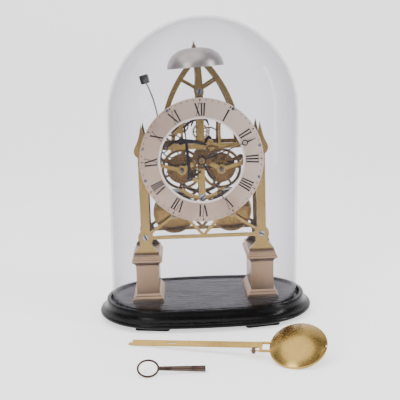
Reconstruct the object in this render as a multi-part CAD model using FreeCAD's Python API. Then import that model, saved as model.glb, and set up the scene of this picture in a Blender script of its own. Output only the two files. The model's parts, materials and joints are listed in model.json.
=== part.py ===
import FreeCAD, Part
import os
from math import acos, atan2, cos, hypot, pi, radians, sin, sqrt

os.makedirs("parts", exist_ok=True)

# Skeleton clock under an oval glass dome, with its pendulum and key lying in front of it.
# Millimetres.  +X is the clock's right as the viewer sees it, +Y goes to the back and +Z is
# up.  Everything is drawn about the middle of the wooden base, on the floor, and the last
# step moves it back so that the origin is below the middle of the whole group.  Every arbor
# runs along Y.

group_set_y = 67.7             # middle of the whole group, loose pieces included, to the origin

# ---------------------------------------------------------------- base and dome
dome_half_x = 129.0
dome_half_y = 75.0
side_radius = 600.0            # the two long arcs of the oval
glass = 3.0
dome_foot = 19.8
dome_shoulder = 277.0
dome_top = 406.0
dome_lean = 8.0                # blown glass is never quite upright
dome_shift = -1.0
platform_z = 25.0
rim_z = 26.6
groove_floor = 19.5
groove_in = -4.6
groove_out = 3.2
foot_height = 5.4
foot_x = 72.0
foot_y = 69.0

# ---------------------------------------------------------------- frame of the clock
# The clock is drawn about its own datum and then set on the base by this much.
clock_set_y = -10.5
clock_set_z = 4.0
leg_x = 79.2
leg_width = 12.0
plate = 4.0
front_y = -10.0                # front face of the front plate
back_y = 46.0                  # front face of the back plate
frame_foot_z = 85.9
boss_z = 108.7
boss_radius = 10.3
finial_tip = 261.4
bar_z = 230.5                  # middle bar, where the gothic arch springs
bar_height = 7.0
arch_radius = 165.0
arch_half = 54.8
arch_width = 6.6
arch_crown_z = 344.0           # cut off flat inside the bell
low_pillar_z = 162.0
high_pillar_z = 302.6
pedestal_x = 78.4
pedestal_y = 20.0
pedestal_width = 42.4
pedestal_depth = 82.0

# ---------------------------------------------------------------- dial and hands
dial_z = 213.0
dial_outer = 82.5
dial_inner = 55.0
dial_front = -22.2
dial_thickness = 2.2
minute_angle = 69.2            # clockwise from twelve
hour_angle = 151.9
minute_ring_at = 61.5
minute_tip = 77.0
hour_ring_at = 50.0
hour_tip = 61.0

# ---------------------------------------------------------------- trains: (x, z) of each arbor
centre = (0.0, dial_z)
going_fusee_at = (26.5, 199.0)
strike_fusee_at = (-26.5, 199.0)
going_barrel_at = (39.0, 138.0)
strike_barrel_at = (-39.0, 138.0)
third_at = (12.8, 234.7)
escape_at = (0.0, 249.0)
anchor_at = (0.0, 266.5)
minute_wheel_at = (14.5, 219.8)
pin_at = (-38.6, 226.6)
gather_at = (-36.0, 245.6)
warn_at = (-25.5, 256.0)
fly_at = (-20.0, 267.3)
hammer_at = (-57.0, 207.0)
rack_at = (-16.0, 188.0)
hook_at = (0.0, 276.0)
lift_at = (-47.0, 231.5)

great_teeth = 96
pinion_leaves = 8
centre_teeth = 96
third_teeth = 88
pin_teeth = 64
gather_teeth = 56
warn_teeth = 56
escape_teeth = 30
escape_radius = 12.0
cannon_teeth = 20
minute_teeth = 60
minute_pinion = 15
hour_teeth = 60

running = 0.05                 # radial clearance of a pivot in its hole
gap = 0.3                      # clearance between moving bodies
pivot = 1.0
arbor = 1.6

barrel_radius = 27.5
barrel_front = 4.0
barrel_back = 38.0
fusee_large = 19.0
fusee_small = 9.0
fusee_front = 6.0
fusee_back = 34.0
chain_groove = 2               # the groove that the chain is leaving
chain_width = 2.0
chain_thick = 1.4

bell_radius = 38.5
bell_height = 26.0
bell_wall = 1.0
bell_rim_z = 334.5
bell_y = 20.0
bell_x = -3.0
bell_tilt = 3.2


def at(x, y, z):
    return FreeCAD.Vector(x, y, z)


def join(shapes):
    whole = shapes[0]
    if len(shapes) > 1:
        whole = whole.multiFuse(shapes[1:])
    whole = whole.removeSplitter()
    return whole


def disc(place, radius, y0, y1):
    return Part.makeCylinder(radius, y1 - y0, at(place[0], y0, place[1]), at(0, 1, 0))


def hoop(place, outer, inner, y0, y1):
    return disc(place, outer, y0, y1).cut(disc(place, inner, y0 - 1, y1 + 1))


def block(x0, x1, y0, y1, z0, z1):
    return Part.makeBox(x1 - x0, y1 - y0, z1 - z0, at(x0, y0, z0))


def prism(points, y0, y1):
    corners = [at(x, y0, z) for x, z in points]
    outline = Part.makePolygon(corners + [corners[0]])
    return Part.Face(outline).extrude(at(0, y1 - y0, 0))


def strut(a, b, width, y0, y1, width_b=None):
    if width_b is None:
        width_b = width
    length = hypot(b[0] - a[0], b[1] - a[1])
    nx = -(b[1] - a[1]) / length
    nz = (b[0] - a[0]) / length
    points = [
        (a[0] + nx * width / 2, a[1] + nz * width / 2),
        (b[0] + nx * width_b / 2, b[1] + nz * width_b / 2),
        (b[0] - nx * width_b / 2, b[1] - nz * width_b / 2),
        (a[0] - nx * width / 2, a[1] - nz * width / 2),
    ]
    return prism(points, y0, y1)


def path(points, width, y0, y1):
    # struts end to end with a round at every turn
    pieces = [strut(points[i], points[i + 1], width, y0, y1) for i in range(len(points) - 1)]
    pieces += [disc(point, width / 2, y0, y1) for point in points]
    return pieces


def polar(place, radius, angle):
    return (place[0] + radius * cos(angle), place[1] + radius * sin(angle))


def toward(a, b):
    return atan2(b[1] - a[1], b[0] - a[0])


def between(a, b):
    return hypot(b[0] - a[0], b[1] - a[1])


# ---------------------------------------------------------------- gears


def gear(place, teeth, pitch, y0, y1, aim, tooth_at_aim):
    # straight-flanked teeth, cut thin so that a train runs freely
    module = 2 * pitch / teeth
    tip = pitch + 0.62 * module
    root = pitch - 0.95 * module
    step = 2 * pi / teeth
    start = aim if tooth_at_aim else aim + step / 2
    points = []
    for i in range(teeth):
        a = start + i * step
        points.append(polar(place, root, a - 0.22 * step))
        points.append(polar(place, tip, a - 0.10 * step))
        points.append(polar(place, tip, a + 0.10 * step))
        points.append(polar(place, root, a + 0.22 * step))
    return prism(points, y0, y1)


def cross_out(wheel, place, rim, hub, arms, width, y0, y1, turn=0.0):
    # opens the web of a wheel and puts its arms back
    window = hoop(place, rim, hub, y0 - 1, y1 + 1)
    spokes = []
    for i in range(arms):
        angle = turn + 2 * pi * i / arms
        inner = polar(place, hub - 0.5, angle)
        outer = polar(place, rim + 0.5, angle)
        spokes.append(strut(inner, outer, width, y0, y1))
    return join([wheel.cut(window)] + spokes)


def spindle(place, y0, y1, radius=arbor, pivots=True, front_pivot=True, back_pivot=True):
    # an arbor with a thin pivot at each plate
    body = [disc(place, radius, y0, y1)]
    if pivots and front_pivot:
        body.append(disc(place, pivot, front_y, y0))
    if pivots and back_pivot:
        body.append(disc(place, pivot, y1, back_y + plate))
    return body


def pitch_pair(a, b, teeth_a, teeth_b):
    distance = between(a, b)
    return distance * teeth_a / (teeth_a + teeth_b), distance * teeth_b / (teeth_a + teeth_b)


inner_front = front_y + plate + gap * 2
inner_back = back_y - gap * 2

# ---------------------------------------------------------------- wooden base and glass dome

end_radius = (dome_half_x ** 2 + dome_half_y ** 2 - 2 * side_radius * dome_half_y)
end_radius = end_radius / (2 * (dome_half_x - side_radius))


def oval(offset, z, scale=1.0, x=0.0):
    # four tangent arcs; a positive offset grows every arc by the same amount
    end = end_radius + offset
    side = side_radius + offset
    end_x = dome_half_x - end_radius
    side_y = side_radius - dome_half_y
    reach = hypot(end_x, side_y)
    ux = end_x / reach
    uy = side_y / reach

    def point(px, py):
        return at(x + px * scale, py * scale, z)

    jx = ux * side
    jy = -side_y + uy * side
    arcs = [
        Part.Arc(point(jx, -jy), point(end_x + end, 0), point(jx, jy)),
        Part.Arc(point(jx, jy), point(0, -side_y + side), point(-jx, jy)),
        Part.Arc(point(-jx, jy), point(-end_x - end, 0), point(-jx, -jy)),
        Part.Arc(point(-jx, -jy), point(0, side_y - side), point(jx, -jy)),
    ]
    return Part.Wire([arc.toShape() for arc in arcs])


def oval_slab(offset, z0, z1):
    return Part.Face(oval(offset, z0)).extrude(at(0, 0, z1 - z0))


def base_profile():
    # (offset from the dome, height): a round foot, a cove, and a bead at the top
    widest = 18.5
    ridge = 9.2
    profile = []
    for i in range(7):
        turn = pi * i / 6
        profile.append((widest - 3.5 + 3.5 * sin(turn), 8.9 - 3.5 * cos(turn)))
    for i in range(1, 6):
        turn = pi / 2 * i / 5
        profile.append((ridge + 5.6 * (1 - sin(turn)), 13.2 + 8.8 * (1 - cos(turn))))
    for i in range(5):
        turn = pi / 2 * i / 4
        profile.append((ridge - 2.6 + 2.2 * cos(turn), rim_z - 2.6 + 2.6 * sin(turn)))
    return profile


def wood_base():
    body = Part.makeLoft([oval(offset, z) for offset, z in base_profile()], True, True)
    body = body.cut(oval_slab(groove_out, platform_z, rim_z + 1))
    groove = oval_slab(groove_out, groove_floor, platform_z + 1)
    groove = groove.cut(oval_slab(groove_in, groove_floor - 1, platform_z + 2))
    return body.cut(groove)


def base_feet():
    pads = []
    for sx in (-1, 1):
        for sy in (-1, 1):
            pad = Part.makeBox(46, 18, foot_height, at(-23, -9, 0))
            pad = pad.makeFillet(4.0, [e for e in pad.Edges if e.BoundBox.ZLength > foot_height - 1])
            pad.rotate(at(0, 0, 0), at(0, 0, 1), -sx * sy * 11)
            pad.translate(at(sx * foot_x, sy * foot_y, 0))
            pads.append(pad)
    return Part.makeCompound(pads)


def dome_stage(offset, z, scale=1.0):
    along = (z - dome_foot) / (dome_top - dome_foot)
    return oval(offset, z, scale, dome_shift + dome_lean * along)


def dome_form(offset, foot):
    height = dome_top - dome_shoulder + offset
    stages = [dome_stage(offset, foot), dome_stage(offset, dome_shoulder)]
    turns = [9, 18, 27, 36, 45, 54, 62, 70, 77, 83]
    for turn in turns:
        t = radians(turn)
        stages.append(dome_stage(offset, dome_shoulder + height * sin(t), cos(t)))
    return Part.makeLoft(stages, True, True)


def glass_dome():
    return dome_form(0.0, dome_foot).cut(dome_form(-glass, dome_foot - 1.0))


# ---------------------------------------------------------------- brass frame


def pedestal(side):
    # (how far the face stands back from the plinth, height above the platform)
    foot_z = platform_z - clock_set_z
    height = frame_foot_z - foot_z
    faces = [(0.0, 0.0), (0.0, 2.6), (1.4, 2.6), (1.4, 4.0), (2.6, 5.8), (3.6, 6.4), (3.6, 7.6)]
    faces += [(5.8, 10.0), (5.8, height - 16.5), (4.9, height - 13.5), (3.0, height - 11.2)]
    faces += [(1.2, height - 10.4), (0.6, height - 9.4), (0.6, height - 7.2), (2.0, height - 6.6)]
    faces += [(2.0, height - 4.8), (3.2, height - 4.2), (3.2, height - 1.6), (4.0, height)]
    slabs = []
    for (back_a, z_a), (back_b, z_b) in zip(faces, faces[1:]):
        if z_b - z_a < 0.01:
            continue
        wires = []
        for back, z in ((back_a, z_a), (back_b, z_b)):
            half_x = pedestal_width / 2 - back
            half_y = pedestal_depth / 2 - back
            ring = [at(-half_x, -half_y, z), at(half_x, -half_y, z)]
            ring += [at(half_x, half_y, z), at(-half_x, half_y, z)]
            wires.append(Part.makePolygon(ring + [ring[0]]))
        slabs.append(Part.makeLoft(wires, True, True))
    body = join(slabs)
    body.translate(at(side * pedestal_x, pedestal_y, foot_z))
    return body


def arch_point(side, z, radius, half):
    turn = (z - bar_z) / radius
    return (side * (half - radius * (1 - sqrt(1 - turn * turn))), z)


def arch_side(side, y0, y1):
    # one curved limb of the gothic arch, from the middle bar to the crown
    inner_radius = arch_radius - arch_width
    inner_half = arch_half - arch_width
    crown_outer = bar_z + sqrt(arch_radius ** 2 - (arch_radius - arch_half) ** 2)
    crown_inner = bar_z + sqrt(inner_radius ** 2 - (inner_radius - inner_half) ** 2)
    outer = [arch_point(side, z, arch_radius, arch_half) for z in
             (bar_z, (bar_z + crown_outer) / 2, crown_outer)]
    inner = [arch_point(side, z, inner_radius, inner_half) for z in
             (crown_inner, (bar_z + crown_inner) / 2, bar_z)]
    outer = [at(x, y0, z) for x, z in outer]
    inner = [at(x, y0, z) for x, z in inner]
    edges = [
        Part.Arc(outer[0], outer[1], outer[2]).toShape(),
        Part.LineSegment(outer[2], inner[0]).toShape(),
        Part.Arc(inner[0], inner[1], inner[2]).toShape(),
        Part.LineSegment(inner[2], outer[0]).toShape(),
    ]
    return Part.Face(Part.Wire(edges)).extrude(at(0, y1 - y0, 0))


def finial(side, y0, y1):
    # a leaf with an ogee outline, swelling above the leg and drawn out to a point
    swell = [(6.0, 218.0), (9.2, 221.0), (10.7, 227.0), (7.6, 235.0), (4.2, 243.0), (1.9, 252.0)]
    right = [at(side * leg_x + x, y0, z) for x, z in swell]
    left = [at(side * leg_x - x, y0, z) for x, z in reversed(swell)]
    tip = at(side * leg_x, y0, finial_tip)
    rise = Part.BSplineCurve()
    rise.interpolate(right + [tip])
    fall = Part.BSplineCurve()
    fall.interpolate([tip] + left)
    foot = Part.LineSegment(left[-1], right[0]).toShape()
    outline = Part.Wire([rise.toShape(), fall.toShape(), foot])
    return Part.Face(outline).extrude(at(0, y1 - y0, 0))


def frame_side(side, y0, y1):
    x = side * leg_x
    foot = [(x - 16.7, frame_foot_z), (x + 16.7, frame_foot_z), (x + 16.7, frame_foot_z + 1.6)]
    foot += [(x + 8.4, 97.0), (x - 8.4, 97.0), (x - 16.7, frame_foot_z + 1.6)]
    pieces = [prism(foot, y0, y1)]
    pieces.append(strut((x, 95.0), (x, 219.0), leg_width, y0, y1))
    pieces.append(strut((x, 95.0), (x, boss_z), 16.0, y0, y1))
    pieces.append(disc((x, boss_z), boss_radius, y0, y1))
    pieces.append(finial(side, y0, y1))
    pieces.append(arch_side(side, y0, y1))
    pieces.append(strut((x, boss_z + 1), (0, low_pillar_z + 3), 3.6, y0, y1))
    pieces.append(strut((0, boss_z), (x, 198.0), 3.6, y0, y1))
    pieces.append(strut((side * 26.5, 320.5), (0, high_pillar_z + 2), 4.0, y0, y1))
    pieces += path([(side * 41.5, 286.0), (side * 25.5, 259.0), (side * 24.5, bar_z)], 3.4, y0, y1)
    pieces.append(strut((0, dial_z), (side * 26.5, 199.0), 6.0, y0, y1))
    pieces.append(strut((side * 26.5, 199.0), (side * 57.0, 207.0), 5.0, y0, y1))
    pieces.append(strut((side * 57.0, 207.0), (x, 214.0), 5.0, y0, y1))
    pieces.append(disc((side * 26.5, 199.0), 6.5, y0, y1))
    pieces.append(disc((side * 57.0, 207.0), 4.6, y0, y1))
    pieces.append(disc((side * 39.0, 138.0), 5.5, y0, y1))
    return pieces


def frame_middle(y0, y1):
    pieces = [strut((-leg_x, boss_z - 1), (leg_x, boss_z - 1), 4.6, y0, y1)]
    pieces.append(strut((-leg_x, bar_z), (leg_x, bar_z), bar_height, y0, y1))
    pieces.append(strut((0, high_pillar_z - 4), (0, 338.0), 11.6, y0, y1, 6.0))
    pieces.append(strut((0, bar_z), (0, high_pillar_z), 9.6, y0, y1))
    pieces.append(strut((0, low_pillar_z), (0, bar_z), 8.6, y0, y1))
    pieces.append(disc(centre, 9.0, y0, y1))
    pieces.append(disc((0, low_pillar_z), 6.0, y0, y1))
    pieces.append(disc((0, high_pillar_z), 6.0, y0, y1))
    # a curved band below the centre bar, between the crossing bars
    band = hoop((0, 196.0), 38.0, 33.0, y0, y1)
    band = band.common(block(-33, 33, y0 - 1, y1 + 1, 150, 174))
    pieces.append(band)
    pieces += path([rack_at, (0, 182.0)], 5.0, y0, y1)
    pieces += path([pin_at, gather_at, warn_at, fly_at, (0, 272.0)], 5.0, y0, y1)
    pieces.append(disc(third_at, 4.5, y0, y1))
    pieces.append(disc(minute_wheel_at, 3.5, y0, y1))
    pieces.append(strut(third_at, minute_wheel_at, 5.0, y0, y1))
    pieces.append(strut(centre, minute_wheel_at, 5.0, y0, y1))
    return pieces


def pivot_holes(y0, y1, places, radius):
    return [disc(place, radius, y0 - 1, y1 + 1) for place in places]


small_pivots = [third_at, escape_at, anchor_at, pin_at, gather_at, warn_at, fly_at, hammer_at]
pillar_places = [(-leg_x, boss_z), (leg_x, boss_z), (0.0, low_pillar_z), (0.0, high_pillar_z)]
screw_hole = 2.0
centre_shaft = 2.2
fusee_shaft = 3.0
barrel_shaft = 3.0


def frame_plate(y0, y1):
    whole = join(frame_side(-1, y0, y1) + frame_side(1, y0, y1) + frame_middle(y0, y1))
    holes = pivot_holes(y0, y1, pillar_places, screw_hole)
    holes += pivot_holes(y0, y1, [going_fusee_at, strike_fusee_at], fusee_shaft + running)
    holes += pivot_holes(y0, y1, [centre], centre_shaft + running)
    holes += pivot_holes(y0, y1, [going_barrel_at, strike_barrel_at], barrel_shaft)
    whole = whole.cut(block(-40, 40, y0 - 1, y1 + 1, arch_crown_z, 400))
    return whole, holes


def front_plate():
    y0 = front_y
    y1 = front_y + plate
    whole, holes = frame_plate(y0, y1)
    holes += pivot_holes(y0, y1, [p for p in small_pivots if p != gather_at], pivot + running)
    holes += pivot_holes(y0, y1, [gather_at], arbor + running)
    for hole in holes:
        whole = whole.cut(hole)
    return whole


def back_plate():
    y0 = back_y
    y1 = back_y + plate
    whole, holes = frame_plate(y0, y1)
    holes += pivot_holes(y0, y1, [p for p in small_pivots if p != anchor_at], pivot + running)
    holes += pivot_holes(y0, y1, [anchor_at], arbor + running)
    for hole in holes:
        whole = whole.cut(hole)
    return whole


def plate_pillars():
    posts = []
    for place in pillar_places:
        post = disc(place, 4.0, front_y + plate, back_y)
        collars = [disc(place, 5.6, front_y + plate, front_y + plate + 2.0)]
        collars.append(disc(place, 5.6, back_y - 2.0, back_y))
        collars.append(disc(place, 5.0, 19.0, 23.0))
        post = join([post] + collars)
        posts.append(post.cut(disc(place, 1.6, front_y - 1, back_y + plate + 1)))
    return Part.makeCompound(posts)


def screw(place, face_y, into_y, head_radius):
    # a round-headed screw with a slot; the head stands on the plate's outer face
    out = -1 if into_y > face_y else 1
    head = disc(place, head_radius, min(face_y, face_y + out * 1.8), max(face_y, face_y + out * 1.8))
    shank = disc(place, 1.5, min(face_y, into_y), max(face_y, into_y))
    slot_y = face_y + out * 1.8
    slot = block(place[0] - head_radius - 1, place[0] + head_radius + 1,
                 min(slot_y, slot_y - out * 0.7), max(slot_y, slot_y - out * 0.7),
                 place[1] - 0.4, place[1] + 0.4)
    return join([head, shank]).cut(slot)


def plate_screws():
    screws = []
    for place in pillar_places:
        screws.append(screw(place, front_y, front_y + 12, 4.0))
        screws.append(screw(place, back_y + plate, back_y + plate - 12, 4.0))
    return Part.makeCompound(screws)


# ---------------------------------------------------------------- dial

dial_foot_angles = [13, 57, 123, 167, 198, 342]
dial_foot_radius = 79.3


def chapter_ring():
    body = hoop(centre, dial_outer, dial_inner, dial_front, dial_front + dial_thickness)
    for angle in dial_foot_angles:
        place = polar(centre, dial_foot_radius, radians(angle))
        body = body.cut(disc(place, 1.2, dial_front - 1, dial_front + 4))
    return body


def dial_feet():
    posts = []
    for angle in dial_foot_angles:
        place = polar(centre, dial_foot_radius, radians(angle))
        posts.append(disc(place, 2.4, dial_front + dial_thickness, front_y))
    return Part.makeCompound(posts)


def dial_screws():
    screws = []
    for angle in dial_foot_angles:
        place = polar(centre, dial_foot_radius, radians(angle))
        head = disc(place, 2.2, dial_front - 1.2, dial_front)
        shank = disc(place, 1.1, dial_front, dial_front + dial_thickness)
        screws.append(join([head, shank]))
    return Part.makeCompound(screws)


# ---------------------------------------------------------------- bell


def lean_bell(shape):
    shape.rotate(at(0, 0, 0), at(0, 1, 0), -bell_tilt)
    shape.translate(at(bell_x, bell_y, bell_rim_z))
    return shape


def bell_outline(inset):
    # a shallow domed bell: nearly upright at the lip and flat on the crown
    points = []
    for i in range(13):
        turn = pi / 2 * i / 12
        points.append(at((bell_radius - inset) * cos(turn) ** 0.72, 0,
                         (bell_height - inset) * sin(turn) ** 1.05))
    return points


def bell():
    outer = bell_outline(0.0)
    inner = bell_outline(bell_wall)
    profile = Part.makePolygon(outer + inner[::-1] + [outer[0]])
    shell = Part.Face(profile).revolve(at(0, 0, 0), at(0, 0, 1), 360)
    return lean_bell(shell.cut(Part.makeCylinder(2.0, 10, at(0, 0, bell_height - 6))))


def bell_stand():
    # the post stands on the upper pillar; a collar carries the bell
    post = Part.makeCylinder(2.6, 22 + bell_height - bell_wall - 2.0, at(0, 0, -22))
    collar = Part.makeCylinder(4.6, 2.0, at(0, 0, bell_height - bell_wall - 3.0))
    thread = Part.makeCylinder(1.9, 5.8, at(0, 0, bell_height - bell_wall - 2.0))
    stand = lean_bell(join([post, collar, thread]))
    seat = block(-4.0, 4.0, 17.0, 25.0, high_pillar_z + 3.0, high_pillar_z + 13.0)
    return join([stand, seat]).cut(disc((0.0, high_pillar_z), 5.0, 15, 27))


def bell_nut():
    points = [at(0, 0, 0), at(3.4, 0, 0), at(3.4, 0, 1.4), at(2.0, 0, 2.2), at(2.6, 0, 3.4)]
    points += [at(1.1, 0, 5.4), at(0.5, 0, 8.5), at(0, 0, 9.0), at(0, 0, 0)]
    nut = Part.Face(Part.makePolygon(points)).revolve(at(0, 0, 0), at(0, 0, 1), 360)
    nut = nut.cut(Part.makeCylinder(1.9, 4.0, at(0, 0, -1)))
    nut.translate(at(0, 0, bell_height))
    return lean_bell(nut)


# ---------------------------------------------------------------- suspension cock


def suspension_cock():
    y0 = back_y + plate
    foot = block(-9, 9, y0, y0 + 3, 276, 292)
    arm = block(-4.5, 4.5, y0 + 3, y0 + 16, 279, 285)
    slot = block(-0.6, 0.6, y0 + 8, y0 + 17, 278, 286)
    return join([foot, arm]).cut(slot)


# ---------------------------------------------------------------- barrels, fusees and chains


def barrel(place):
    drum = disc(place, barrel_radius, barrel_front, barrel_back)
    flange = disc(place, barrel_radius + 1.2, barrel_back - 1.4, barrel_back)
    drum = join([drum, flange])
    drum = drum.cut(disc(place, barrel_radius - 1.5, barrel_front - 1, barrel_back - 2.0))
    return drum.cut(disc(place, barrel_shaft + running, barrel_front - 2, barrel_back + 2))


def barrel_cap(place):
    # a plate let into the drum's mouth, raised to a low dome outside
    points = [at(0, 0, 0), at(barrel_radius - 1.5, 0, 0), at(barrel_radius - 1.5, 0, 1.4)]
    points += [at(barrel_radius - 1.5, 0, 1.6), at(barrel_radius - 4, 0, 2.4)]
    points += [at(barrel_radius - 11, 0, 4.4), at(8, 0, 5.4), at(0, 0, 5.6), at(0, 0, 0)]
    cap = Part.Face(Part.makePolygon(points)).revolve(at(0, 0, 0), at(0, 0, 1), 360)
    cap.rotate(at(0, 0, 0), at(1, 0, 0), 90)
    cap.translate(at(place[0], barrel_front + 1.4, place[1]))
    return cap.cut(disc(place, barrel_shaft + running, -6, barrel_front + 4))


def barrel_arbor(place):
    behind = back_y + plate
    body = disc(place, barrel_shaft, front_y - 0.6, behind + 2.0)
    core = disc(place, 7.0, barrel_front + 4, barrel_back - 4)
    ratchet = gear(place, 24, 9.0, behind, behind + 2.0, 0.0, True)
    square = block(place[0] - 2.1, place[0] + 2.1, behind + 2.0, behind + 7.0,
                   place[1] - 2.1, place[1] + 2.1)
    return join([body, core, ratchet, square])


def mainspring(place):
    # the let-down coils fill the drum between the core and the wall
    return hoop(place, barrel_radius - 2.2, barrel_radius - 9.0, barrel_front + 4, barrel_back - 4)


def great_wheel(place, mate, y0, y1, arms):
    wheel_pitch = pitch_pair(place, mate, great_teeth, pinion_leaves)[0]
    aim = toward(place, mate)
    wheel = gear(place, great_teeth, wheel_pitch, y0, y1, aim, True)
    wheel = cross_out(wheel, place, wheel_pitch - 4.0, 12.0, arms, 3.2, y0, y1, aim + pi / arms)
    return wheel.cut(disc(place, fusee_shaft, y0 - 1, y1 + 1))


fusee_turns = 9
fusee_pitch = (fusee_back - fusee_front) / fusee_turns


def groove_radius(turn):
    return fusee_large - (fusee_large - fusee_small) * (turn / (fusee_turns - 1)) ** 0.8


def fusee(place):
    # a stepped cone whose spiral is cut for the chain, largest beside the great wheel
    points = [at(0, 0, 0), at(fusee_large + 1.4, 0, 0), at(fusee_large + 1.4, 0, 1.0)]
    for i in range(fusee_turns):
        radius = groove_radius(i)
        low = i * fusee_pitch + 1.0
        high = low + fusee_pitch
        points.append(at(radius, 0, low))
        points.append(at(radius, 0, high - 1.0))
        points.append(at(radius + 0.7, 0, high - 0.7))
        points.append(at(radius + 0.7, 0, high - 0.3))
    points.append(at(0, 0, fusee_turns * fusee_pitch + 1.0))
    points.append(points[0])
    cone = Part.Face(Part.makePolygon(points)).revolve(at(0, 0, 0), at(0, 0, 1), 360)
    cone.rotate(at(0, 0, 0), at(1, 0, 0), -90)
    cone.translate(at(place[0], fusee_front, place[1]))
    return cone.cut(disc(place, fusee_shaft, fusee_front - 2, fusee_back + 4))


def fusee_arbor(place):
    body = disc(place, fusee_shaft, front_y - 1.0, back_y + plate)
    square = block(place[0] - 2.1, place[0] + 2.1, front_y - 13.0, front_y - 1.0,
                   place[1] - 2.1, place[1] + 2.1)
    return join([body, square])


def chain(barrel_place, fusee_place, side):
    # one tangent run from the barrel to the fusee, and the turns that lie on the barrel
    offset = gap + chain_thick / 2
    r_barrel = barrel_radius + offset
    r_fusee = groove_radius(chain_groove) + 0.7 + offset
    reach = between(barrel_place, fusee_place)
    line = toward(barrel_place, fusee_place)
    angle = line - side * acos((r_barrel - r_fusee) / reach)
    chain_y = fusee_front + 1.0 + fusee_pitch * (chain_groove + 0.4)
    start = polar(barrel_place, r_barrel, angle)
    end = polar(fusee_place, r_fusee, angle)
    y0 = chain_y - chain_width / 2
    y1 = chain_y + chain_width / 2
    run = strut(start, end, chain_thick - 0.3, y0, y1)
    wraps = [run]
    for i in range(5):
        low = y0 + i * (chain_width + 0.8)
        wraps.append(hoop(barrel_place, r_barrel + chain_thick / 2, r_barrel - chain_thick / 2,
                          low, low + chain_width))
    tie = disc(polar(barrel_place, r_barrel, angle), chain_thick / 2 - 0.2,
               y0, y1 + 4 * (chain_width + 0.8))
    return join(wraps + [tie])


# ---------------------------------------------------------------- going train

going_great_y = (-2.0, 0.0)
strike_great_y = (1.6, 3.6)
centre_wheel_y = (38.2, 39.6)
third_wheel_y = (41.4, 42.8)
escape_wheel_y = (2.0, 3.4)


def centre_arbor():
    pitch = pitch_pair(going_fusee_at, centre, great_teeth, pinion_leaves)[1]
    aim = toward(centre, going_fusee_at)
    leaves = gear(centre, pinion_leaves, pitch, going_great_y[0] - 0.6, going_great_y[1] + 0.6, aim, False)
    shaft = disc(centre, 1.5, front_y - 18.2, back_y + plate)
    front = disc(centre, centre_shaft, front_y, going_great_y[0] - 0.6)
    back = disc(centre, centre_shaft, strike_great_y[1] + 0.6, back_y + plate)
    return join([leaves, shaft, front, back])


def centre_wheel():
    pitch = pitch_pair(centre, third_at, centre_teeth, pinion_leaves)[0]
    y0, y1 = centre_wheel_y
    aim = toward(centre, third_at)
    wheel = gear(centre, centre_teeth, pitch, y0, y1, aim, True)
    wheel = cross_out(wheel, centre, pitch - 2.6, 4.6, 4, 1.9, y0, y1, aim + pi / 4)
    return wheel.cut(disc(centre, centre_shaft, y0 - 1, y1 + 1))


def third_wheel():
    small = pitch_pair(centre, third_at, centre_teeth, pinion_leaves)[1]
    large = pitch_pair(third_at, escape_at, third_teeth, pinion_leaves)[0]
    y0, y1 = third_wheel_y
    aim = toward(third_at, escape_at)
    wheel = gear(third_at, third_teeth, large, y0, y1, aim, True)
    wheel = cross_out(wheel, third_at, large - 2.2, 3.4, 4, 1.7, y0, y1, aim + pi / 4)
    leaves = gear(third_at, pinion_leaves, small, centre_wheel_y[0] - 0.5, centre_wheel_y[1] + 0.5,
                  toward(third_at, centre), False)
    return join(spindle(third_at, inner_front, inner_back, 1.2) + [wheel, leaves])


def escape_arbor():
    small = pitch_pair(third_at, escape_at, third_teeth, pinion_leaves)[1]
    leaves = gear(escape_at, pinion_leaves, small, third_wheel_y[0] - 0.5, third_wheel_y[1] + 0.5,
                  toward(escape_at, third_at), False)
    return join(spindle(escape_at, inner_front, inner_back, 1.1) + [leaves])


def escape_wheel():
    y0, y1 = escape_wheel_y
    step = 2 * pi / escape_teeth
    points = []
    for i in range(escape_teeth):
        points.append(polar(escape_at, escape_radius - 2.2, i * step))
        points.append(polar(escape_at, escape_radius, (i + 0.62) * step))
        points.append(polar(escape_at, escape_radius, (i + 0.70) * step))
        points.append(polar(escape_at, escape_radius - 2.2, (i + 0.74) * step))
    wheel = prism(points, y0, y1)
    wheel = cross_out(wheel, escape_at, escape_radius - 3.6, 2.6, 4, 1.3, y0, y1)
    return wheel.cut(disc(escape_at, 1.1, y0 - 1, y1 + 1))


def anchor():
    # two curved arms reach down to the pallets, which stay just clear of the wheel's tips
    y0 = escape_wheel_y[0] - 0.8
    y1 = escape_wheel_y[1] + 0.8
    body = disc(anchor_at, 3.4, y0, y1)
    arms = []
    for side in (-1, 1):
        shoulder = (side * 9.0, 264.5)
        toe = (side * 12.2, 256.6)
        arms.append(strut(anchor_at, shoulder, 3.0, y0, y1))
        arms.append(disc(shoulder, 1.5, y0, y1))
        arms.append(strut(shoulder, toe, 3.0, y0, y1, 1.6))
    whole = join([body] + arms)
    whole = whole.cut(disc(escape_at, escape_radius + 1.3, y0 - 1, y1 + 1))
    return whole.cut(disc(anchor_at, 1.3, y0 - 1, y1 + 1))


crutch_y = back_y + plate + 2.0
crutch_pin_z = 206.0


def anchor_arbor():
    # the arbor carries the crutch behind the back plate
    shaft = [disc(anchor_at, pivot, front_y, inner_front)]
    shaft.append(disc(anchor_at, 1.3, inner_front, back_y - 2.0))
    shaft.append(disc(anchor_at, arbor, back_y - 2.0, crutch_y + 2.4))
    hub = disc(anchor_at, 3.2, crutch_y, crutch_y + 1.8)
    arm = strut(anchor_at, (0.0, crutch_pin_z), 2.6, crutch_y, crutch_y + 1.8, 2.0)
    pin = disc((0.0, crutch_pin_z), 1.0, crutch_y, crutch_y + 9.0)
    eye = disc((0.0, crutch_pin_z), 2.2, crutch_y, crutch_y + 1.8)
    return join(shaft + [hub, arm, pin, eye])


# ---------------------------------------------------------------- motion work and hands

cannon_y = (-13.6, -12.4)
hour_y = (-15.4, -14.2)
snail_y = (-17.0, -15.9)
hour_hand_y = (-24.2, -23.4)
minute_hand_y = (-26.4, -25.6)


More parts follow.
